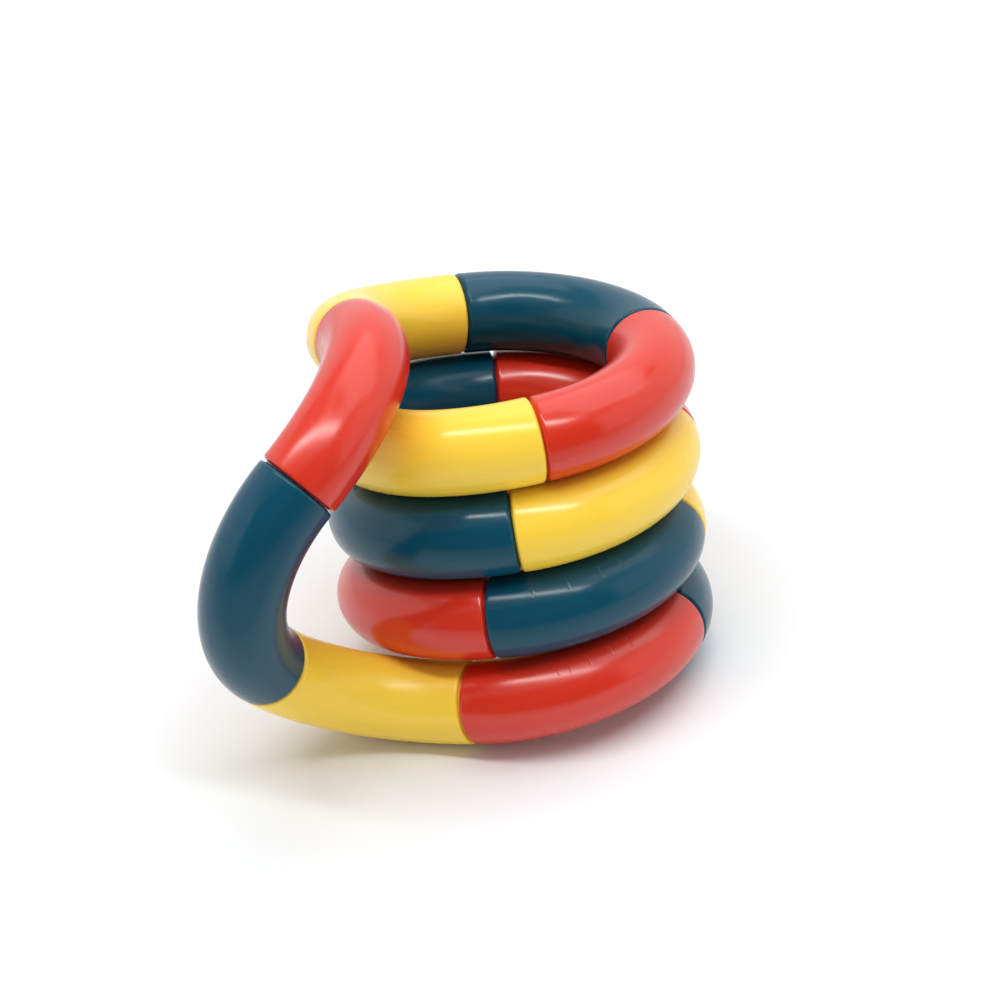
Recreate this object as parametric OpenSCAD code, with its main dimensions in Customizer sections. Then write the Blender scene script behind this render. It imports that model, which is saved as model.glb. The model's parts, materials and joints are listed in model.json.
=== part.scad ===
// Fidget tube toy: eighteen quarter-bend tube links snapped into one closed loop.
// The loop stands coiled in four layers, and its last two links bridge from the bottom layer up
// to the top one. Millimetres, +Z up, the floor at Z = 0, the origin under the middle of the toy.

/* [Links] */
// Outside diameter of the tube
tube_d = 12.7; // [11:0.1:13]
// Radius of the bend, measured on the tube's axis
bend_r = 22; // [21.5:0.1:30]
// Thickness of the tube's wall
wall = 1.5; // [1:0.1:2]
// Thickness of the wall across each end of a link
end_wall = 2.4; // [2:0.1:3.2]
// Straight run of tube at each end of a link, between the bend and the rounded edge
end_run = 0.1; // [0.1:0.1:1]
// Rounding of the edge round each end
edge_round = 0.5; // [0.2:0.05:0.6]

/* [Pivots] */
// Gap between the end faces of two links
joint_gap = 0.4; // [0.2:0.05:0.8]
// Gap between the bearing faces, which are raised round the bores of two links
bearing_gap = 0.1; // [0.05:0.05:0.15]
// Step in from the skin of the tube to the bearing face
bearing_inset = 0.8; // [0.7:0.1:1.5]
// Diameter of the snap pin
pin_d = 5.8; // [4.5:0.1:6.4]
// Room round the pin in its bores
pin_clearance = 0.08; // [0.04:0.01:0.1]
// Radius of the snap bead round the pin
bead_r = 0.3; // [0.2:0.05:0.4]
// Hole down the middle of the pin, which lets its fingers spring inwards
core_d = 2.4; // [1.5:0.1:3]
// Width of the slots that split the pin into fingers
slot_w = 0.8; // [0.5:0.1:1.2]
// Web left between the slots at the middle of the pin
web = 1; // [0.6:0.1:1.6]

/* [Coil] */
// Gap between two layers of the coil, measured straight up its middle
layer_gap = 0.5; // [0.4:0.05:0.8]

/* [Hidden] */
$fn = 96;
link_count = 18;
tube_r = tube_d / 2;
bore_r = tube_r - wall;
pin_r = pin_d / 2;
colours = ["gold", "steelblue", "tomato"];

// Where the loop is unsnapped: the pivot from link 17 to link 18, whose pin is pushed back a notch
open_pivot = 17;

// The pin's bead sits halfway through an end wall
bead_depth = end_wall / 2;
pin_reach = joint_gap / 2 + end_wall;
pin_notch = joint_gap + 2 * bead_depth;

bearing_r = tube_r - bearing_inset;
bearing_rise = (joint_gap - bearing_gap) / 2;

// From a link's end face to the start of the bend, and from the plane of the pivot
end_length = edge_round + end_run;
run = joint_gap / 2 + end_length;

// How far a cutter reaches past what it cuts
past = 1;

// The pose. A twist is the turn of one link on the next, about the tube's axis at their pivot.
// Pivots 2 to 13 share the twist that stacks the layers, pivot 14 has the foot's, and the link's
// own angle with the four other twists closes the loop, starting from these rounded values.
foot_pivot = 14;
foot_twist = 10.5;
first_angle = 92.5;
first_twists = [15, -136, 55, 49];
layer_pitch = tube_d + layer_gap;

// Where the toy meets the floor: under a pivot at the back, and at a share of the length of a
// link at the front
back_foot_pivot = 13;
front_foot_link = 16;
front_foot_share = 0.16;
// Heading of the toy, from the line between those two feet
heading = 26;

function move(v) = [[1, 0, 0, v.x], [0, 1, 0, v.y], [0, 0, 1, v.z], [0, 0, 0, 1]];
function turn_y(a) = [[cos(a), 0, sin(a), 0], [0, 1, 0, 0], [-sin(a), 0, cos(a), 0], [0, 0, 0, 1]];
function turn_z(a) = [[cos(a), -sin(a), 0, 0], [sin(a), cos(a), 0, 0], [0, 0, 1, 0], [0, 0, 0, 1]];
function column(m, i) = [m[0][i], m[1][i], m[2][i]];
function unit(v) = v / norm(v);
function swap_rows(m) = [for (i = [0:2]) [for (j = [0:2]) m[j][i]]];
function frame(x, y, z, p) = [for (i = [0:2]) [x[i], y[i], z[i], p[i]]];
function square_up(m) = concat([for (i = [0:2]) m[i]], [[0, 0, 0, 1]]);
function undo(m) =
    let (
        back = swap_rows(m),
        p = -(back * column(m, 3))
    )
    square_up(frame(column(back, 0), column(back, 1), column(back, 2), p));

// A link's frame has its origin on the pivot where the link starts, Y along the tube, and the
// centre of the bend on the -X side. This carries it along the link, by a share of the angle.
function along(angle, share = 1) =
    move([-bend_r, run, 0]) * turn_z(angle * share) * move([bend_r, 0, 0]);
function next_link(angle, twist) = along(angle) * move([0, run, 0]) * turn_y(twist);

// The twist that lifts the coil by one layer in a full turn
function coil_twist(angle) =
    let (rise = layer_pitch * angle / 360)
    2 * asin(rise / (2 * (bend_r + run)));
function twists(angle, t) =
    [for (k = [1:link_count - 1])
        k == 1 ? t[0] :
        k < foot_pivot ? coil_twist(angle) :
        k == foot_pivot ? foot_twist : t[k - foot_pivot]];
function frames(angle, t) =
    let (turns = concat(twists(angle, t), [0, 0]))
    [for (k = 0, m = move([0, 0, 0]); k <= link_count; m = m * next_link(angle, turns[k]), k = k + 1) m];

// The unknowns are the link's angle and the twists of pivots 1, 15, 16 and 17
function twists_in(unknowns) = [for (i = [1:len(first_twists)]) unknowns[i]];

// How far the far end of link 18 is from the start of link 1, and how far it is out of line
function misfit(u) =
    let (
        chain = frames(u[0], twists_in(u)),
        last = chain[link_count]
    )
    concat(column(last, 3), [bend_r * last[0][1], bend_r * last[2][1]]);

function largest_row(m, i = 0, best = 0) =
    i == len(m) ? best : largest_row(m, i + 1, abs(m[i][0]) > abs(m[best][0]) ? i : best);
function sum_of(v) = v * [for (x = v) 1];
function solve(m, v) =
    len(v) == 1 ? [v[0] / m[0][0]] :
    let (
        p = largest_row(m),
        rest = [for (i = [0:len(v) - 1]) if (i != p) i],
        less = [for (i = rest) [for (j = [1:len(v) - 1]) m[i][j] - m[i][0] / m[p][0] * m[p][j]]],
        tail = solve(less, [for (i = rest) v[i] - m[i][0] / m[p][0] * v[p]]),
        used = sum_of([for (j = [0:len(tail) - 1]) m[p][j + 1] * tail[j]])
    )
    concat([(v[p] - used) / m[p][0]], tail);

// Newton's method on the unknowns, until the ends meet this closely or the rounds run out
nudge = 0.001;
meets = 1e-9;
most_rounds = 12;
function slopes(u, miss) =
    let (
        all = [0:len(u) - 1],
        nudged = [for (j = all) misfit([for (i = all) u[i] + (i == j ? nudge : 0)])]
    )
    [for (i = all) [for (j = all) (nudged[j][i] - miss[i]) / nudge]];
function closed(u, rounds = most_rounds) =
    let (miss = misfit(u))
    rounds == 0 || norm(miss) < meets ? u : closed(u - solve(slopes(u, miss), miss), rounds - 1);

closing = closed(concat([first_angle], first_twists));
link_angle = closing[0];
chain = frames(link_angle, twists_in(closing));

// Points along the tube's axis, each with the direction of the tube there
steps = 24;
axis_points =
    [for (k = [0:link_count - 1]) for (i = [0:steps])
        let (m = chain[k] * along(link_angle, i / steps)) [column(m, 3), column(m, 1)]];
function reach_towards(way) =
    max([for (p = axis_points) p[0] * way + tube_r * sqrt(max(0, 1 - pow(p[1] * way, 2)))]);

// The floor touches the tube under both feet and runs along link 16 there
back_foot = column(chain[back_foot_pivot], 3);
front_frame = chain[front_foot_link - 1] * along(link_angle, front_foot_share);
front_foot = column(front_frame, 3);
up = unit(cross(back_foot - front_foot, column(front_frame, 1)));
ahead = unit(back_foot - front_foot);
side = cross(ahead, up);
right_way = side * cos(heading) + ahead * sin(heading);
back_way = cross(up, right_way);
level = undo(square_up(frame(right_way, back_way, up, [0, 0, 0])));
standing = move([
        (reach_towards(-right_way) - reach_towards(right_way)) / 2,
        (reach_towards(-back_way) - reach_towards(back_way)) / 2,
        reach_towards(-up)
    ]) * level;
placed = [for (m = chain) standing * m];

function two_digits(k) = str(k < 10 ? "0" : "", k);
function link_name(k) = str("link_", two_digits(k));
function pin_name(k) = str("pin_", two_digits(k));

// For each pivot, its centre and the direction of the tube there, from one link to the next
echo(link_angle = link_angle, twists = twists(link_angle, twists_in(closing)));
echo(left_open = norm(misfit(closing)));
echo(pivots = [for (k = [1:link_count]) let (m = placed[k % link_count]) [column(m, 3), column(m, 1)]]);

// A piece of the bend, as a solid bar of radius r, that leaves out an angle at each end
module bend(r, left_out = 0) {
    translate([-bend_r, run, 0])
        rotate([0, 0, left_out])
            rotate_extrude(angle = link_angle - 2 * left_out)
                translate([bend_r, 0]) circle(r);
}

// Stands its children at both ends of a link, with Z = 0 on the end face and +Z into the link
module at_both_ends() {
    translate([0, joint_gap / 2, 0]) rotate([-90, 0, 0]) children();
    multmatrix(along(link_angle) * move([0, end_length, 0])) rotate([90, 0, 0]) children();
}

// The straight run at the end of a link, its rounded edge and its raised bearing face
module end_solid() {
    rotate_extrude() {
        translate([0, edge_round]) square([tube_r, end_run]);
        square([tube_r - edge_round, end_length]);
        translate([tube_r - edge_round, edge_round]) circle(edge_round);
        translate([0, -bearing_rise]) square([bearing_r, bearing_rise + end_length]);
    }
}

// The bore through an end wall, with the groove that the pin's bead snaps into
module pin_bore() {
    translate([0, 0, -past]) cylinder(r = pin_r + pin_clearance, h = end_wall + 2 * past);
    translate([0, 0, bead_depth]) bead_ring(bead_r + pin_clearance);
}

module bead_ring(r) {
    rotate_extrude() translate([pin_r, 0]) circle(r);
}

// One link: a hollow quarter bend, closed at both ends but for the pin's bores
module link(k) {
    hidden_angle = (end_wall - end_length) / bend_r * 180 / PI;
    color(colours[(k - 1) % 3])
        multmatrix(placed[k - 1])
            difference() {
                union() {
                    bend(tube_r);
                    at_both_ends() end_solid();
                }
                bend(bore_r, hidden_angle);
                at_both_ends() pin_bore();
            }
}

// Half of a snap pin, from its middle out to one end
module pin_half() {
    difference() {
        union() {
            cylinder(r = pin_r, h = pin_reach);
            translate([0, 0, pin_reach - end_wall + bead_depth]) bead_ring(bead_r);
        }
        translate([0, 0, web / 2]) {
            cylinder(r = core_d / 2, h = pin_reach);
            for (a = [0, 90])
                rotate([0, 0, a])
                    translate([-pin_r - past, -slot_w / 2, 0])
                        cube([2 * (pin_r + past), slot_w, pin_reach]);
        }
    }
}

// The snap pin of the pivot from link k to the next. It turns with link k, and at the open pivot
// it is pushed back into that link by one notch.
module pin(k) {
    pushed_back = k == open_pivot ? pin_notch : 0;
    color("gainsboro")
        multmatrix(placed[k % link_count])
            translate([0, -pushed_back, 0])
                rotate([-90, 0, 0]) {
                    pin_half();
                    mirror([0, 0, 1]) pin_half();
                }
}

for (k = [1:link_count]) {
    link(k);
    pin(k);
}
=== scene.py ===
"""Dresses the fidget tube toy: its quarter-bend links, the snap pins between them, and a light tent."""

from __future__ import annotations

import json
import logging
import math
from dataclasses import dataclass, field
from enum import Enum

import bmesh
import bpy
from mathutils import Matrix, Vector


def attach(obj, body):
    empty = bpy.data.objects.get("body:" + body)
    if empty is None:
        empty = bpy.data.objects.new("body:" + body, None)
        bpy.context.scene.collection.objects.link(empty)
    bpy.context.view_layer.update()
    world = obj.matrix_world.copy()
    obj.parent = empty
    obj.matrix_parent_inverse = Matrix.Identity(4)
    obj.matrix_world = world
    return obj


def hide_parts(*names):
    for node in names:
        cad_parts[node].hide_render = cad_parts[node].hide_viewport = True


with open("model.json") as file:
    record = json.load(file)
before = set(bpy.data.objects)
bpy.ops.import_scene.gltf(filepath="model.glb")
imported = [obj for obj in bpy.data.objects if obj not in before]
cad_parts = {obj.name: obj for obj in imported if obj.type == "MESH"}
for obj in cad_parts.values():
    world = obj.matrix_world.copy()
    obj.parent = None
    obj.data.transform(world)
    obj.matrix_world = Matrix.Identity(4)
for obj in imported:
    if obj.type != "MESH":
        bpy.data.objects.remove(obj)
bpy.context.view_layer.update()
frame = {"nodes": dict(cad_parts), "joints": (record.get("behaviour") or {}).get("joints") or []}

LOG = logging.getLogger("fidget_tube_toy")
MM = 0.001
LINKS = 18
OPEN_PIVOT = 17
ARC_STEPS = 8

Triple = tuple[float, float, float]
Socket = bpy.types.NodeSocket


class Colour(Enum):
    """The plastics, in the order that they follow each other round the loop."""

    YELLOW = 0
    BLUE = 1
    RED = 2

    @staticmethod
    def of_link(number: int) -> "Colour":
        """The colour of a link, counted from 1."""
        return Colour((number - 1) % len(Colour))


@dataclass(frozen=True)
class Marks:
    """Fine lines across a link, where it has been rubbed.

    Attributes:
        lines: Where each line is, as a share of the link's length, and how deep, from 0 to 1.
        middle: The middle of the lines, as a share of the way round the tube.
        spread: How far the lines reach from there, as a share of the way round.
        half_width: Half the width of a line, as a share of the link's length.
    """

    lines: tuple[tuple[float, float], ...]
    middle: float = 0.855
    spread: float = 0.03
    half_width: float = 0.003


class Nodes:
    """A short way to add and join the nodes of one tree."""

    def __init__(self, tree: bpy.types.NodeTree) -> None:
        """Clears the tree.

        Args:
            tree: The node tree to fill.
        """
        self.tree = tree
        tree.nodes.clear()

    def add(self, kind: str, **values: object) -> bpy.types.Node:
        """Adds a node.

        Args:
            kind: The node's type, such as ShaderNodeBump.
            values: Attributes of the node, or with a socket's name, its value.

        Returns:
            The new node.
        """
        node = self.tree.nodes.new(kind)
        for name, value in values.items():
            title = name.replace("_", " ")
            if hasattr(node, name):
                setattr(node, name, value)
            else:
                node.inputs[title].default_value = value
        return node

    def join(self, start: Socket, end: Socket) -> None:
        """Links one socket to another."""
        self.tree.links.new(start, end)

    def calc(self, operation: str, *values: Socket | float) -> Socket:
        """Adds a sum.

        Args:
            operation: What it does, such as MULTIPLY.
            values: What it does it with: sockets or numbers.

        Returns:
            The result.
        """
        node = self.add("ShaderNodeMath", operation=operation)
        for value, end in zip(values, node.inputs):
            if isinstance(value, float):
                end.default_value = value
            else:
                self.join(value, end)
        return node.outputs[0]

    def split(self, vector: Socket) -> bpy.types.NodeOutputs:
        """Takes a vector apart into X, Y and Z."""
        node = self.add("ShaderNodeSeparateXYZ")
        self.join(vector, node.inputs["Vector"])
        return node.outputs

    def spread(self, value: Socket, start: tuple[float, float], end: tuple[float, float]) -> Socket:
        """Maps a value from one range to another.

        Args:
            value: The value.
            start: The range it comes from.
            end: The range it goes to.

        Returns:
            The mapped value, kept within its range.
        """
        node = self.add("ShaderNodeMapRange")
        for title, number in zip(("From Min", "From Max", "To Min", "To Max"), (*start, *end)):
            node.inputs[title].default_value = number
        self.join(value, node.inputs["Value"])
        return node.outputs["Result"]

    def blend(self, first: Socket | Triple, second: Triple, share: Socket) -> Socket:
        """Mixes two colours.

        Args:
            first: The colour, or where it comes from.
            second: The colour that is mixed in.
            share: How much of the second.

        Returns:
            The mixed colour.
        """
        node = self.add("ShaderNodeMix", data_type="RGBA")
        node.inputs["B"].default_value = (*second, 1)
        if isinstance(first, tuple):
            node.inputs["A"].default_value = (*first, 1)
        else:
            self.join(first, node.inputs["A"])
        self.join(share, node.inputs["Factor"])
        return node.outputs["Result"]


@dataclass(frozen=True)
class Grain:
    """A noise pattern.

    Attributes:
        scale: How many of its features fit in a unit.
        detail: How many finer layers it has.
        roughness: How strong those are.
    """

    scale: float
    detail: float
    roughness: float

    def draw(self, nodes: Nodes, place: Socket) -> Socket:
        """Adds the pattern.

        Args:
            nodes: The material's nodes.
            place: The coordinates that it follows.

        Returns:
            Its value.
        """
        noise = nodes.add(
            "ShaderNodeTexNoise", Scale=self.scale, Detail=self.detail, Roughness=self.roughness
        )
        nodes.join(place, noise.inputs["Vector"])
        return noise.outputs["Fac"]


@dataclass(frozen=True)
class Relief:
    """How much a pattern raises a surface, or sinks it.

    Attributes:
        strength: How strongly it shows.
        depth: How deep it is, in metres.
        sunk: Whether it goes into the surface.
    """

    strength: float
    depth: float
    sunk: bool = False

    def draw(self, nodes: Nodes, height: Socket, below: Socket | None = None) -> Socket:
        """Adds the relief.

        Args:
            nodes: The material's nodes.
            height: The pattern.
            below: The relief that it lies on.

        Returns:
            The normal.
        """
        bump = nodes.add(
            "ShaderNodeBump", Strength=self.strength, Distance=self.depth, invert=self.sunk
        )
        nodes.join(height, bump.inputs["Height"])
        if below:
            nodes.join(below, bump.inputs["Normal"])
        return bump.outputs["Normal"]


@dataclass(frozen=True)
class Streaks:
    """The long faint streaks that the melt and the polish leave along the tube.

    Attributes:
        along: How often they change along a link.
        around: How fine they are: the radius of their pattern, which runs round the tube.
        drift: How fast they change from place to place in the toy, per metre.
        grain: Their pattern.
        span: The values between which nearly all of the pattern lies.
    """

    along: float = 2.5
    around: float = 3.0
    drift: float = 25.0
    grain: Grain = Grain(1.0, 1.0, 0.4)
    span: tuple[float, float] = (0.3, 0.7)

    def draw(self, nodes: Nodes, skin: bpy.types.NodeOutputs, place: Socket) -> Socket:
        """Adds the streaks.

        Args:
            nodes: The material's nodes.
            skin: Where on the link's skin: X along it and Y round it.
            place: The object's coordinates.

        Returns:
            The pattern's value.
        """
        turn = nodes.calc("MULTIPLY", skin["Y"], math.tau)
        wound = nodes.add("ShaderNodeCombineXYZ")
        nodes.join(nodes.calc("MULTIPLY", skin["X"], self.along), wound.inputs["X"])
        for axis, operation in (("Y", "COSINE"), ("Z", "SINE")):
            swing = nodes.calc(operation, turn)
            nodes.join(nodes.calc("MULTIPLY", swing, self.around), wound.inputs[axis])
        drift = nodes.add("ShaderNodeVectorMath", operation="SCALE")
        drift.inputs["Scale"].default_value = self.drift
        nodes.join(place, drift.inputs[0])
        both = nodes.add("ShaderNodeVectorMath", operation="ADD")
        nodes.join(wound.outputs[0], both.inputs[0])
        nodes.join(drift.outputs[0], both.inputs[1])
        return self.grain.draw(nodes, both.outputs[0])


@dataclass(frozen=True)
class GlossPlastic:
    """A glossy moulded plastic.

    Attributes:
        title: The material's name.
        body: The plastic's colour.
        pale: The tone it drifts to where the melt has flowed.
        roughness: How blurred its reflections are.
        shine: How strong they are; 0.5 is a plain plastic.
        refraction: Its refractive index.
        dulling: The roughness varies between these shares of it.
        streaks: The streaks along the tube.
        ripple: How much the streaks raise the surface.
        peel: The fine pattern of the skin.
        skin: How much that raises the surface.
        scratch: How much the fine lines sink into it.
        whitening_and_glint: The colour that a fine line pales to: partly the whitening of rubbed
            plastic, partly a painted highlight where the line crosses the sheen.
        whitening_and_glint_amount: How much of that colour it takes.
        fading: The share of a line's reach where it starts to fade.
    """

    title: str
    body: Triple
    pale: Triple
    roughness: float
    shine: float = 0.5
    refraction: float = 1.5
    dulling: tuple[float, float] = (0.8, 1.3)
    streaks: Streaks = Streaks()
    ripple: Relief = Relief(0.14, 0.0003)
    peel: Grain = Grain(420.0, 3.0, 0.5)
    skin: Relief = Relief(0.05, 0.0002)
    scratch: Relief = Relief(0.6, 0.0003, sunk=True)
    whitening_and_glint: Triple = (0.8, 0.75, 0.72)
    whitening_and_glint_amount: float = 0.08
    fading: float = 0.4

    def material(self, suffix: str = "", marks: Marks | None = None) -> bpy.types.Material:
        """Makes the material.

        Args:
            suffix: Added to its name.
            marks: Fine lines to draw across the link.

        Returns:
            The new material.
        """
        made = bpy.data.materials.new(self.title + suffix)
        made.use_nodes = True
        nodes = Nodes(made.node_tree)
        out = nodes.add("ShaderNodeOutputMaterial")
        shader = nodes.add("ShaderNodeBsdfPrincipled", Metallic=0.0, IOR=self.refraction)
        shader.inputs["Specular IOR Level"].default_value = self.shine
        nodes.join(shader.outputs["BSDF"], out.inputs["Surface"])

        place = nodes.add("ShaderNodeTexCoord").outputs["Object"]
        skin = nodes.split(nodes.add("ShaderNodeUVMap", uv_map="skin").outputs["UV"])
        flow = self.streaks.draw(nodes, skin, place)
        dulling = tuple(self.roughness * share for share in self.dulling)
        nodes.join(nodes.spread(flow, self.streaks.span, dulling), shader.inputs["Roughness"])
        colour = nodes.blend(self.body, self.pale, flow)
        normal = self.ripple.draw(nodes, flow)
        normal = self.skin.draw(nodes, self.peel.draw(nodes, place), normal)
        if marks:
            lines = self.draw_lines(nodes, skin, marks)
            normal = self.scratch.draw(nodes, lines, normal)
            # Pales the lines: partly the whitening of rubbed plastic, partly a painted highlight where
            # they cross the sheen.
            whitening_and_glint_mix = nodes.calc("MULTIPLY", lines, self.whitening_and_glint_amount)
            colour = nodes.blend(colour, self.whitening_and_glint, whitening_and_glint_mix)
        nodes.join(colour, shader.inputs["Base Color"])
        nodes.join(normal, shader.inputs["Normal"])
        return made

    def draw_lines(self, nodes: Nodes, skin: bpy.types.NodeOutputs, marks: Marks) -> Socket:
        """Draws the fine lines across a link.

        Args:
            nodes: The material's nodes.
            skin: Where on the link's skin: X along it and Y round it.
            marks: Where the lines are.

        Returns:
            How deep a line is at a point, from 0 to 1.
        """
        lines = nodes.add("ShaderNodeValToRGB")
        ramp = lines.color_ramp
        for stop in ramp.elements:
            stop.color = (0, 0, 0, 1)
        for spot, depth in marks.lines:
            for offset, level in ((-marks.half_width, 0.0), (0.0, depth), (marks.half_width, 0.0)):
                stop = ramp.elements.new(spot + offset)
                stop.color = (level, level, level, 1)
        nodes.join(skin["X"], lines.inputs["Fac"])
        away = nodes.calc("ABSOLUTE", nodes.calc("SUBTRACT", skin["Y"], marks.middle))
        fade = nodes.add("ShaderNodeMapRange", interpolation_type="SMOOTHSTEP")
        fade.inputs["From Min"].default_value = marks.spread
        fade.inputs["From Max"].default_value = marks.spread * self.fading
        nodes.join(away, fade.inputs["Value"])
        return nodes.calc("MULTIPLY", lines.outputs["Color"], fade.outputs["Result"])


@dataclass(frozen=True)
class MattePlastic:
    """The plain, slightly waxy plastic of the snap pins.

    Attributes:
        title: The material's name.
        body: The plastic's colour.
        worn: The tone it drifts to.
        roughness: How blurred its reflections are.
        refraction: Its refractive index.
        grain: The pattern of its skin.
        skin: How much that raises the surface.
    """

    title: str = "pin_plastic"
    body: Triple = (0.66, 0.65, 0.6)
    worn: Triple = (0.5, 0.49, 0.45)
    roughness: float = 0.42
    refraction: float = 1.47
    grain: Grain = Grain(900.0, 4.0, 0.6)
    skin: Relief = Relief(0.2, 0.0001)

    def material(self) -> bpy.types.Material:
        """Makes the material."""
        made = bpy.data.materials.new(self.title)
        made.use_nodes = True
        nodes = Nodes(made.node_tree)
        out = nodes.add("ShaderNodeOutputMaterial")
        shader = nodes.add(
            "ShaderNodeBsdfPrincipled", Metallic=0.0, IOR=self.refraction, Roughness=self.roughness
        )
        nodes.join(shader.outputs["BSDF"], out.inputs["Surface"])
        pattern = self.grain.draw(nodes, nodes.add("ShaderNodeTexCoord").outputs["Object"])
        nodes.join(nodes.blend(self.body, self.worn, pattern), shader.inputs["Base Color"])
        nodes.join(self.skin.draw(nodes, pattern), shader.inputs["Normal"])
        return made


@dataclass
class PivotSizes:
    """The snap joint between two links, in millimetres.

    Attributes:
        joint_gap: Between the end faces at the rounded edges of two links.
        bearing_gap: Between the faces that are raised round their bores.
        end_wall: How thick a link's end wall is.
        pin_radius: The pin's radius.
        clearance: Between the pin and its bore.
        bead: How far the snap bead stands out of the pin.
        core_radius: The radius of the hole in each end of the pin.
        slot: How wide the slots in each end of the pin are.
        web: How long the solid middle of the pin is.
    """

    joint_gap: float = 0.4
    bearing_gap: float = 0.1
    end_wall: float = 2.4
    pin_radius: float = 2.9
    clearance: float = 0.08
    bead: float = 0.3
    core_radius: float = 1.2
    slot: float = 0.8
    web: float = 1.0

    @property
    def half_gap(self) -> float:
        """From the plane of the pivot to a link's end face."""
        return self.joint_gap / 2

    @property
    def bearing_face(self) -> float:
        """From the plane of the pivot to the face that is raised round a bore."""
        return self.bearing_gap / 2

    @property
    def bead_depth(self) -> float:
        """From a link's end face to the middle of the snap bead."""
        return self.end_wall / 2


def lathe(
    mesh: bmesh.types.BMesh,
    outline: list[tuple[float, float]],
    place: Matrix,
    steps: int,
) -> None:
    """Turns an outline about the Y axis of a place.

    Args:
        mesh: The mesh to add to.
        outline: Points as radius and distance along the axis, in millimetres.
        place: Where the axis is.
        steps: How many sides the turned form has.
    """
    points = [mesh.verts.new(place @ Vector((r, y, 0))) for r, y in outline]
    edges = [mesh.edges.new(pair) for pair in zip(points, points[1:])]
    bmesh.ops.spin(
        mesh,
        geom=points + edges,
        cent=place.to_translation(),
        axis=place.to_3x3() @ Vector((0, 1, 0)),
        angle=math.tau,
        steps=steps,
        use_merge=True,
    )


def arc(cx: float, cy: float, radius: float, first: float, last: float) -> list[tuple[float, float]]:
    """Points of an arc in an outline.

    Args:
        cx: The centre's distance from the axis.
        cy: The centre's place along the axis.
        radius: The arc's radius.
        first: Its first angle, in degrees from the outward direction.
        last: Its last angle.

    Returns:
        The points, both ends included.
    """
    turns = [math.radians(first + (last - first) * i / ARC_STEPS) for i in range(ARC_STEPS + 1)]
    return [(cx + radius * math.cos(a), cy + radius * math.sin(a)) for a in turns]


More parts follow.
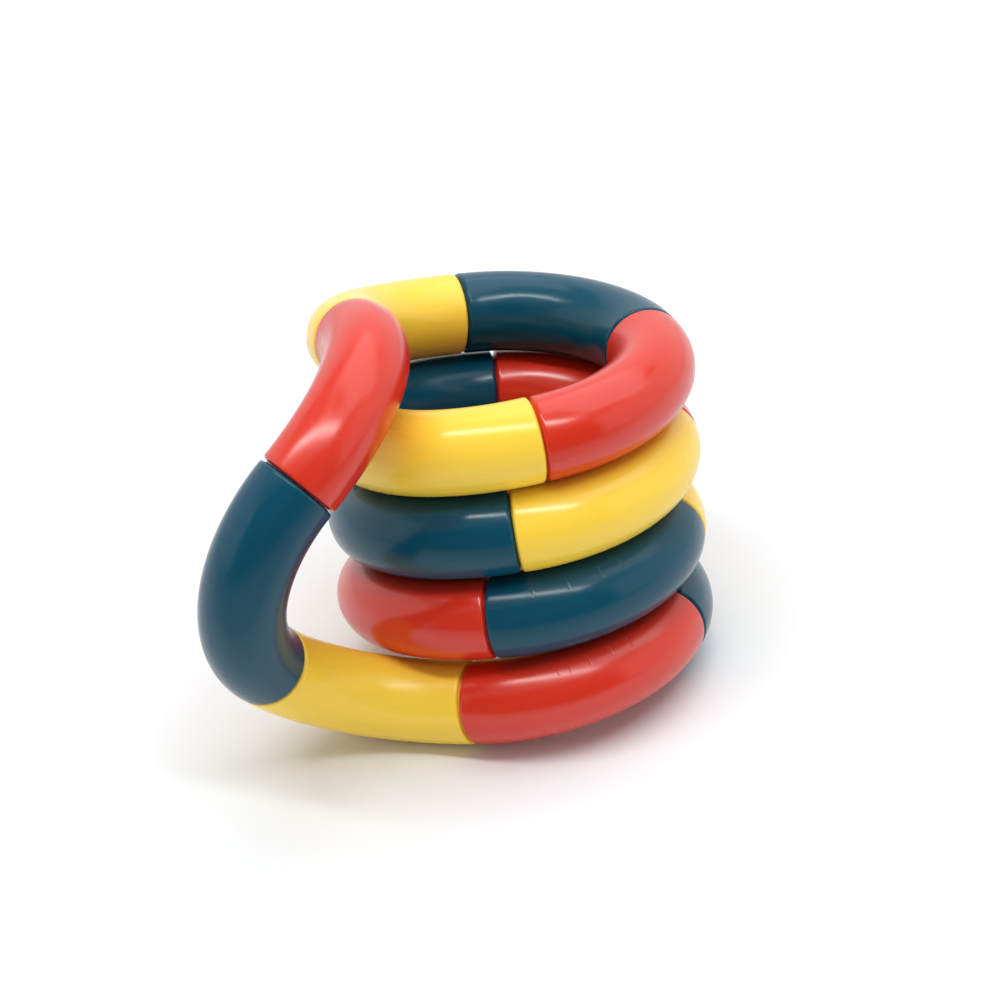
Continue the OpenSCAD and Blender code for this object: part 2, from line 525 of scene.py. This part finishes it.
@dataclass
class LinkShell:
    """One hollow quarter bend, built in its own frame: it starts on a pivot and runs along Y.

    Sizes are in millimetres. The centre of the bend is on the -X side.

    Attributes:
        tube_radius: The tube's outer radius.
        bend_radius: The radius of the bend, to the middle of the tube.
        wall: How thick the tube's wall is.
        end_run: The straight part between a rounded edge and the bend.
        edge_round: The radius of the rounded edge.
        bearing_inset: From the tube's skin in to the raised face.
        lead_in: How wide the mouth of the bore is bevelled.
        dish: How much thinner an end wall is at its bore than at the tube's wall.
        angle: The angle of the bend, in radians.
        weld: How near to each other points are merged.
        round_steps: How many sides the tube has.
        bend_steps: How many steps the bend has.
        pivot: The joint at each end.
    """

    tube_radius: float = 6.35
    bend_radius: float = 22.0
    wall: float = 1.5
    end_run: float = 0.1
    edge_round: float = 0.5
    bearing_inset: float = 0.8
    lead_in: float = 0.25
    dish: float = 0.3
    angle: float = math.radians(92.53)
    weld: float = 0.001
    round_steps: int = 96
    bend_steps: int = 64
    pivot: PivotSizes = field(default_factory=PivotSizes)

    @property
    def run(self) -> float:
        """From the plane of a pivot to the start of the bend."""
        return self.pivot.half_gap + self.edge_round + self.end_run

    def along(self, share: float) -> Matrix:
        """Carries the link's frame along its bend.

        Args:
            share: How much of the bend, from 0 to 1.

        Returns:
            The frame there.
        """
        centre = Vector((-self.bend_radius, self.run, 0))
        turn = Matrix.Rotation(self.angle * share, 4, "Z")
        return Matrix.Translation(centre) @ turn @ Matrix.Translation((self.bend_radius, 0, 0))

    def end_outline(self) -> list[tuple[float, float]]:
        """The outline of an end, from the skin round the edge and down the bore to the hollow."""
        p = self.pivot
        bore = p.pin_radius + p.clearance
        groove = p.bead + p.clearance
        lean = math.degrees(math.asin(p.clearance / groove))
        face = p.half_gap
        edge = self.edge_round
        rim = arc(self.tube_radius - edge, face + edge, edge, 0, -90)
        raised = self.tube_radius - self.bearing_inset
        step = [(raised, face), (raised, p.bearing_face)]
        mouth = [(bore + self.lead_in, p.bearing_face), (bore, p.bearing_face + self.lead_in)]
        snap = arc(p.pin_radius, face + p.bead_depth, groove, lean - 90, 90 - lean)
        inner = [(bore, face + p.end_wall - self.dish)]
        return [(self.tube_radius, self.run)] + rim + step + mouth + snap + inner

    def mesh(self) -> bpy.types.Mesh:
        """Builds the link's mesh in its own frame, in millimetres, with a map of its skin."""
        bm = bmesh.new()
        start = Matrix.Identity(4)
        end = self.along(1) @ Matrix.Translation((0, self.run, 0)) @ Matrix.Rotation(math.pi, 4, "Z")
        for place in (start, end):
            lathe(bm, self.end_outline(), place, self.round_steps)
        self.bend(bm, self.tube_radius, 0)
        hollow = self.bend(bm, self.tube_radius - self.wall, self.hidden_angle())
        bmesh.ops.remove_doubles(bm, verts=bm.verts[:], dist=self.weld)
        self.close_hollow(bm, hollow)
        bmesh.ops.recalc_face_normals(bm, faces=bm.faces[:])
        self.map_skin(bm)
        for face in bm.faces:
            face.smooth = True
        made = bpy.data.meshes.new("link_pattern")
        bm.to_mesh(made)
        bm.free()
        return made

    def hidden_angle(self) -> float:
        """The part of the bend at each end that the end wall fills."""
        return (self.pivot.end_wall - self.end_run - self.edge_round) / self.bend_radius

    def bend(self, bm: bmesh.types.BMesh, radius: float, left_out: float) -> list[bmesh.types.BMEdge]:
        """Sweeps a ring round the bend.

        Args:
            bm: The mesh to add to.
            radius: The ring's radius.
            left_out: The angle that it leaves out at each end.

        Returns:
            The edges of the first and the last ring.
        """
        place = self.along(left_out / self.angle) @ Matrix.Rotation(math.pi / 2, 4, "X")
        circle = bmesh.ops.create_circle(bm, radius=radius, segments=self.round_steps, matrix=place)
        ring = circle["verts"]
        edges = list({e for v in ring for e in v.link_edges})
        swept = bmesh.ops.spin(
            bm,
            geom=ring + edges,
            cent=(-self.bend_radius, self.run, 0),
            axis=(0, 0, 1),
            angle=self.angle - 2 * left_out,
            steps=self.bend_steps,
        )
        last = [g for g in swept["geom_last"] if isinstance(g, bmesh.types.BMEdge)]
        return edges + last

    def close_hollow(self, bm: bmesh.types.BMesh, hollow: list[bmesh.types.BMEdge]) -> None:
        """Joins each end of the hollow to the bore in its end wall.

        Args:
            bm: The mesh.
            hollow: The edges of the hollow's two open rings.
        """
        open_edges = [e for e in bm.edges if e.is_boundary]
        mine = set(hollow)
        for near in (True, False):
            pick = [e for e in open_edges if (self.share_of(e.verts[0].co) < 0.5) == near]
            inner = [e for e in pick if e in mine]
            bore = [e for e in pick if e not in mine]
            bmesh.ops.bridge_loops(bm, edges=inner + bore)

    def share_of(self, point: Vector) -> float:
        """How far along the bend a point is, from 0 to 1."""
        return math.atan2(point.y - self.run, point.x + self.bend_radius) / self.angle

    def map_skin(self, bm: bmesh.types.BMesh) -> None:
        """Maps the skin: across is the share of the bend, and up is the share of the way round.

        Args:
            bm: The mesh.
        """
        layer = bm.loops.layers.uv.new("skin")
        for face in bm.faces:
            middle = self.way_round(face.calc_center_median())
            for loop in face.loops:
                point = loop.vert.co
                turn = self.way_round(point)
                if turn - middle > 0.5:
                    turn -= 1
                if middle - turn > 0.5:
                    turn += 1
                loop[layer].uv = (self.share_of(point), turn)

    def way_round(self, point: Vector) -> float:
        """How far round the tube a point is, from 0 at the outside of the bend."""
        out = math.hypot(point.x + self.bend_radius, point.y - self.run) - self.bend_radius
        return (math.atan2(point.z, out) / math.tau) % 1


@dataclass
class SnapPin:
    """A double-ended split pin with a snap bead at each end, about the Y axis of a pivot.

    Attributes:
        pivot: The joint that it holds together.
        round_steps: How many sides it has.
        lead_in: How wide its tips are bevelled, in millimetres.
        weld: How near to each other points are merged, in millimetres.
        sharp: The angle from which an edge is shaded as sharp, in radians.
    """

    pivot: PivotSizes = field(default_factory=PivotSizes)
    round_steps: int = 64
    lead_in: float = 0.2
    weld: float = 0.0001
    sharp: float = math.radians(40)

    def outline(self) -> list[tuple[float, float]]:
        """Half of the pin's outline, from its middle out to its tip and down its core."""
        p = self.pivot
        reach = p.half_gap + p.end_wall
        bead = arc(p.pin_radius, p.half_gap + p.bead_depth, p.bead, -90, 90)
        tip = [(p.pin_radius, reach - self.lead_in), (p.pin_radius - self.lead_in, reach)]
        core = [(p.core_radius, reach), (p.core_radius, p.web / 2), (0.0, p.web / 2)]
        return [(p.pin_radius, 0.0)] + bead + tip + core

    def mesh(self) -> bpy.types.Mesh:
        """Builds the pin's mesh in the pivot's frame, in millimetres."""
        half = self.outline()
        whole = [(r, -y) for r, y in reversed(half)] + half[1:]
        bm = bmesh.new()
        lathe(bm, whole, Matrix.Identity(4), self.round_steps)
        bmesh.ops.remove_doubles(bm, verts=bm.verts[:], dist=self.weld)
        bmesh.ops.recalc_face_normals(bm, faces=bm.faces[:])
        made = bpy.data.meshes.new("pin_pattern")
        bm.to_mesh(made)
        bm.free()
        return self.cut_slots(made)

    def cut_slots(self, body: bpy.types.Mesh) -> bpy.types.Mesh:
        """Splits both ends of the pin into four fingers.

        Args:
            body: The pin before it is cut.

        Returns:
            The cut mesh.
        """
        p = self.pivot
        pin = bpy.data.objects.new("pin_pattern", body)
        bpy.context.scene.collection.objects.link(pin)
        deep = p.end_wall + p.half_gap
        across = 3 * p.pin_radius
        cutters = []
        for side in (-1, 1):
            for turn in (0.0, math.pi / 2):
                bm = bmesh.new()
                bmesh.ops.create_cube(bm, size=1)
                bmesh.ops.scale(bm, vec=(across, deep, p.slot), verts=bm.verts[:])
                bmesh.ops.translate(bm, vec=(0, side * (p.web / 2 + deep / 2), 0), verts=bm.verts[:])
                turned = Matrix.Rotation(turn, 3, "Y")
                bmesh.ops.rotate(bm, cent=(0, 0, 0), matrix=turned, verts=bm.verts[:])
                slab = bpy.data.meshes.new("slot")
                bm.to_mesh(slab)
                bm.free()
                cutter = bpy.data.objects.new("slot", slab)
                bpy.context.scene.collection.objects.link(cutter)
                cutters.append(cutter)
                cut = pin.modifiers.new("slot", "BOOLEAN")
                cut.operation = "DIFFERENCE"
                cut.solver = "EXACT"
                cut.object = cutter
        bpy.context.view_layer.update()
        shown = bpy.context.evaluated_depsgraph_get()
        made = bpy.data.meshes.new_from_object(pin.evaluated_get(shown))
        for spare in cutters + [pin]:
            bpy.data.objects.remove(spare)
        bpy.data.meshes.remove(body)
        made.shade_smooth()
        made.set_sharp_from_angle(angle=self.sharp)
        return made


@dataclass
class Loop:
    """The closed loop: reads where each pivot and link is from the model's joints and solids."""

    shell: LinkShell = field(default_factory=LinkShell)
    pin: SnapPin = field(default_factory=SnapPin)

    def pivots(self) -> dict[int, tuple[Vector, Vector]]:
        """Each jointed pivot's centre in metres, and the way the tube runs there."""
        known = {}
        for joint in frame["joints"]:
            number = int(joint["name"][-2:])
            known[number] = (Vector(joint["pos_m"]), -Vector(joint["axis"]).normalized())
        return known

    def middle_of(self, number: int) -> Vector:
        """The middle of a link's surface in the model.

        Args:
            number: The link, counted from 1.

        Returns:
            The middle, in metres.
        """
        mesh = frame["nodes"][f"link_{number:02d}"].data
        total = sum(face.area for face in mesh.polygons)
        return sum((face.center * face.area for face in mesh.polygons), Vector()) / total

    def link_frame(self, number: int) -> Matrix:
        """The frame at the start of a link, in metres.

        Args:
            number: The link, counted from 1.

        Returns:
            Its frame, on the pivot where it starts, with Y along the tube.
        """
        known = self.pivots()
        from_end = number == LINKS
        place, way = known[number if from_end else (number - 2) % LINKS + 1]
        inward = self.middle_of(number) - place
        out = -(inward - inward.dot(way) * way).normalized()
        turned = Matrix((out, way, out.cross(way))).transposed().to_4x4()
        here = Matrix.Translation(place) @ turned @ Matrix.Scale(MM, 4)
        if from_end:
            length = self.shell.along(1) @ Matrix.Translation((0, self.shell.run, 0))
            return here @ length.inverted()
        return here

    def next_frame(self, number: int) -> Matrix:
        """The frame on the pivot where a link ends."""
        return self.link_frame(number % LINKS + 1)

    def add(
        self,
        pattern: bpy.types.Mesh,
        place: Matrix,
        name: str,
        look: bpy.types.Material,
    ) -> bpy.types.Object:
        """Adds a piece with its place in its mesh.

        Args:
            pattern: The mesh to copy.
            place: Where it goes.
            name: The piece's name.
            look: Its material.

        Returns:
            The new object.
        """
        mesh = pattern.copy()
        mesh.name = name
        mesh.transform(place)
        mesh.materials.clear()
        mesh.materials.append(look)
        made = bpy.data.objects.new(name, mesh)
        bpy.context.scene.collection.objects.link(made)
        return made

    def build(self, looks: dict[str, bpy.types.Material]) -> None:
        """Builds every link and pin in place of its solid.

        Args:
            looks: The material of each slot, and of each marked link by its name.
        """
        shell_pattern = self.shell.mesh()
        pin_pattern = self.pin.mesh()
        for number in range(1, LINKS + 1):
            slot = Colour.of_link(number).name.lower()
            node = f"link_{number:02d}"
            look = looks.get(node, looks[slot])
            link = self.add(shell_pattern, self.link_frame(number), f"tube_{number:02d}", look)
            self.seat(link, node, number)
            back = self.pivot_notch() if number == OPEN_PIVOT else 0.0
            place = self.next_frame(number) @ Matrix.Translation((0, -back, 0))
            node = f"pin_{number:02d}"
            pin = self.add(pin_pattern, place, f"snap_{number:02d}", looks["pin"])
            self.seat(pin, node, number)
            faces = len(link.data.polygons), len(pin.data.polygons)
            LOG.info("section %d: %s tube and pin, %d and %d faces", number, slot, *faces)
        bpy.data.meshes.remove(shell_pattern)
        bpy.data.meshes.remove(pin_pattern)

    def pivot_notch(self) -> float:
        """How far the pin of the unsnapped pivot is pushed back."""
        return self.pin.pivot.joint_gap + 2 * self.pin.pivot.bead_depth

    def seat(self, piece: bpy.types.Object, node: str, number: int) -> None:
        """Lets a piece stand for its solid and move with its section."""
        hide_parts(node)
        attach(piece, f"section_{number:02d}")


@dataclass(frozen=True)
class StageFinish:
    """A plain matte finish of the table and of the sheets of painted reflection, which may fade to
    dark.

    Attributes:
        title: The material's name.
        level: How light it is.
        roughness: How matte it is.
        tint: How much red, green and blue it has of that.
        shine: How strong its reflections are.
        dark: How light it is where it has faded.
        fade: Where on Y it has faded and where it starts to, in metres.
    """

    title: str
    level: float
    roughness: float = 1.0
    tint: Triple = (1.0, 1.0, 1.0)
    shine: float = 0.2
    dark: float = 0.006
    fade: tuple[float, float] | None = None

    def material(self) -> bpy.types.Material:
        """Makes the material."""
        made = bpy.data.materials.new(self.title)
        made.use_nodes = True
        nodes = Nodes(made.node_tree)
        out = nodes.add("ShaderNodeOutputMaterial")
        shader = nodes.add("ShaderNodeBsdfPrincipled", Roughness=self.roughness)
        shader.inputs["Specular IOR Level"].default_value = self.shine
        shader.inputs["Base Color"].default_value = (*(self.level * part for part in self.tint), 1)
        nodes.join(shader.outputs["BSDF"], out.inputs["Surface"])
        if self.fade:
            place = nodes.add("ShaderNodeTexCoord").outputs["Object"]
            level = nodes.spread(nodes.split(place)["Y"], self.fade, (self.dark, self.level))
            nodes.join(level, shader.inputs["Base Color"])
        return made


@dataclass(frozen=True)
class Lamp:
    """A rectangular lamp that looks at the toy.

    Attributes:
        title: Its name.
        place: Where it is, in metres.
        size: Its width and height, in metres.
        power: Its power in watts.
    """

    title: str
    place: Triple
    size: tuple[float, float]
    power: float

    def build(self, aim: Vector) -> None:
        """Adds the lamp.

        Args:
            aim: The point that it looks at.
        """
        data = bpy.data.lights.new(self.title, "AREA")
        data.shape = "RECTANGLE"
        data.size, data.size_y = self.size
        data.energy = self.power
        made = bpy.data.objects.new(self.title, data)
        bpy.context.scene.collection.objects.link(made)
        turned = (aim - Vector(self.place)).to_track_quat("-Z", "Y").to_matrix().to_4x4()
        made.matrix_world = Matrix.Translation(self.place) @ turned


@dataclass
class LightTent:
    """A white table under a light tent with a strip lamp in its roof; the tent's roof and its dark open
    front are only painted reflections, on sheets that nothing but the toy's gloss sees.

    Lengths are in metres.

    Attributes:
        floor_size: The side of the square table.
        camera_place: Where the camera is.
        camera_right: The camera's direction to the right.
        camera_ahead: The direction it looks in.
        focal_pixels: Its focal length, in pixels of a picture of the next width.
        picture_pixels: The width of that picture.
        sensor_mm: Its sensor's width in millimetres.
        clip: The nearest and the farthest that it sees.
        painted_reflection_near: Where the painted reflection of the table starts, on Y.
        painted_reflection_far: Where the painted reflection of a dark room's wall is, on Y.
        painted_reflection_reach: How far the sheets of painted reflection reach to each side.
        painted_roof_height: How high the painted reflection of the tent's roof is.
        painted_shelf_height: How high the painted reflection of the table is over the table.
        painted_shelf_fade: Over what length it fades into the dark.
        walls_light: How strongly the white walls light the toy.
        walls_seen: How strongly they show, also in reflections.
        aim: The point that the lamps look at.
        lamps: The lamps.
    """

    floor_size: float = 6.0
    camera_place: Vector = Vector((21.2, -353.9, 253.6)) * MM
    camera_right: Vector = Vector((0.9973, 0.0006, -0.0736))
    camera_ahead: Vector = Vector((-0.0397, 0.8464, -0.5311))
    focal_pixels: float = 2750.7
    picture_pixels: float = 984.0
    sensor_mm: float = 36.0
    clip: tuple[float, float] = (0.01, 20.0)
    painted_reflection_near: float = -0.06
    painted_reflection_far: float = -0.75
    painted_reflection_reach: float = 1.1
    painted_roof_height: float = 1.0
    painted_shelf_height: float = 0.001
    painted_shelf_fade: float = 0.24
    walls_light: float = 0.5
    walls_seen: float = 1.0
    aim: Vector = Vector((0, 0, 0.03))
    lamps: tuple[Lamp, ...] = (
        Lamp("strip_lamp", (-0.08, -0.2, 0.9), (1.1, 0.09), 5.4),
        Lamp("roof_lamp", (0.25, 0.3, 0.9), (1.2, 0.9), 5.0),
    )

    def camera(self) -> None:
        """Makes the camera."""
        data = bpy.data.cameras.new("camera")
        data.sensor_width = self.sensor_mm
        data.lens = self.focal_pixels / self.picture_pixels * self.sensor_mm
        data.clip_start, data.clip_end = self.clip
        made = bpy.data.objects.new("camera", data)
        bpy.context.scene.collection.objects.link(made)
        back = -self.camera_ahead.normalized()
        up = back.cross(self.camera_right).normalized()
        right = up.cross(back)
        turned = Matrix((right, up, back)).transposed().to_4x4()
        made.matrix_world = Matrix.Translation(self.camera_place) @ turned
        bpy.context.scene.camera = made

    def sheet(self, name: str, corners: list[Triple]) -> bpy.types.Object:
        """Makes a flat four-cornered sheet that isn't part of the toy.

        Args:
            name: Its name.
            corners: Its corners in order, in metres.

        Returns:
            The new object.
        """
        bm = bmesh.new()
        bm.faces.new([bm.verts.new(c) for c in corners])
        mesh = bpy.data.meshes.new(name)
        bm.to_mesh(mesh)
        bm.free()
        made = bpy.data.objects.new(name, mesh)
        bpy.context.scene.collection.objects.link(made)
        return made

    def table(self) -> None:
        """Makes the white table, and the sheets of painted reflection that only the toy's gloss sees:
        the tent's roof, the dark room, and a dimmed strip of table in front that fades into it as
        painted shade.
        """
        half, low, high = self.floor_size / 2, self.painted_shelf_height, self.painted_roof_height
        near, far, wide = self.painted_reflection_near, self.painted_reflection_far, self.painted_reflection_reach
        square = [(-half, -half, 0), (half, -half, 0), (half, half, 0), (-half, half, 0)]
        floor = self.sheet("table", square)
        table_white = StageFinish("table_white", 0.86, roughness=0.6, tint=(0.975, 1.0, 1.025))
        floor.data.materials.append(table_white.material())
        reflected = {
            # Painted reflection of the table in front of the toy: dimmer than the table as painted
            # shade, and fading into the dark room.
            StageFinish("painted_reflection_shelf", 0.6, fade=(near - self.painted_shelf_fade, near)): [
                (-wide, far, low),
                (wide, far, low),
                (wide, near, low),
                (-wide, near, low),
            ],
            # Painted reflection of a dark room in front of the toy.
            StageFinish("painted_reflection_dark", 0.006): [
                (-wide, far, 0),
                (wide, far, 0),
                (wide, far, high),
                (-wide, far, high),
            ],
            # Painted reflection of the tent's dim roof over the toy.
            StageFinish("painted_reflection_roof", 0.65): [
                (-wide, far, high),
                (wide, far, high),
                (wide, wide, high),
                (-wide, wide, high),
            ],
        }
        # The sheets are hidden from the camera, from diffuse light and from shadows, so they are
        # painted reflections that only the toy's gloss shows.
        for finish, corners in reflected.items():
            card = self.sheet(finish.title, corners)
            card.data.materials.append(finish.material())
            card.visible_camera = False
            card.visible_diffuse = False
            card.visible_shadow = False

    def world(self) -> None:
        """Makes the tent's white walls, which light the toy less than they show in it."""
        made = bpy.data.worlds.new("tent")
        bpy.context.scene.world = made
        made.use_nodes = True
        nodes = Nodes(made.node_tree)
        out = nodes.add("ShaderNodeOutputWorld")
        lit = nodes.add("ShaderNodeBackground", Color=(1, 1, 1, 1), Strength=self.walls_light)
        seen = nodes.add("ShaderNodeBackground", Color=(1, 1, 1, 1), Strength=self.walls_seen)
        path = nodes.add("ShaderNodeLightPath").outputs
        mirrored = nodes.calc("MAXIMUM", path["Is Glossy Ray"], path["Is Transmission Ray"])
        mix = nodes.add("ShaderNodeMixShader")
        nodes.join(nodes.calc("MAXIMUM", mirrored, path["Is Camera Ray"]), mix.inputs[0])
        nodes.join(lit.outputs[0], mix.inputs[1])
        nodes.join(seen.outputs[0], mix.inputs[2])
        nodes.join(mix.outputs[0], out.inputs["Surface"])

    def build(self) -> None:
        """Builds the tent, its lamps and the camera."""
        self.camera()
        self.table()
        self.world()
        for lamp in self.lamps:
            lamp.build(self.aim)
        view = bpy.context.scene.view_settings
        view.view_transform = "Standard"


def finishes() -> dict[str, bpy.types.Material]:
    """Makes the materials.

    Returns:
        The material of each slot, and of each marked link by its node's name.
    """
    yellow = GlossPlastic(
        "gloss_yellow", body=(0.96, 0.63, 0.05), pale=(0.97, 0.67, 0.062), roughness=0.25
    )
    blue = GlossPlastic(
        "gloss_blue",
        body=(0.003, 0.06, 0.102),
        pale=(0.004, 0.069, 0.117),
        roughness=0.21,
        shine=0.3,
    )
    red = GlossPlastic(
        "gloss_red",
        body=(0.63, 0.026, 0.009),
        pale=(0.68, 0.034, 0.014),
        roughness=0.21,
        shine=0.6,
    )
    rubbed_blue = Marks(((0.5, 0.8), (0.587, 1.0), (0.717, 0.4), (0.842, 0.25)))
    rubbed_red = Marks(((0.36, 0.8), (0.44, 1.0), (0.53, 0.7), (0.61, 0.35), (0.65, 0.3)))
    return {
        "yellow": yellow.material(),
        "blue": blue.material(),
        "red": red.material(),
        "pin": MattePlastic().material(),
        "link_11": blue.material("_rubbed", rubbed_blue),
        "link_15": red.material("_rubbed", rubbed_red),
    }


def main() -> None:
    """Builds the stage and the toy."""
    logging.basicConfig(level=logging.INFO, format="%(name)s: %(message)s")
    LightTent().build()
    Loop().build(finishes())


if __name__ == "__main__":
    main()
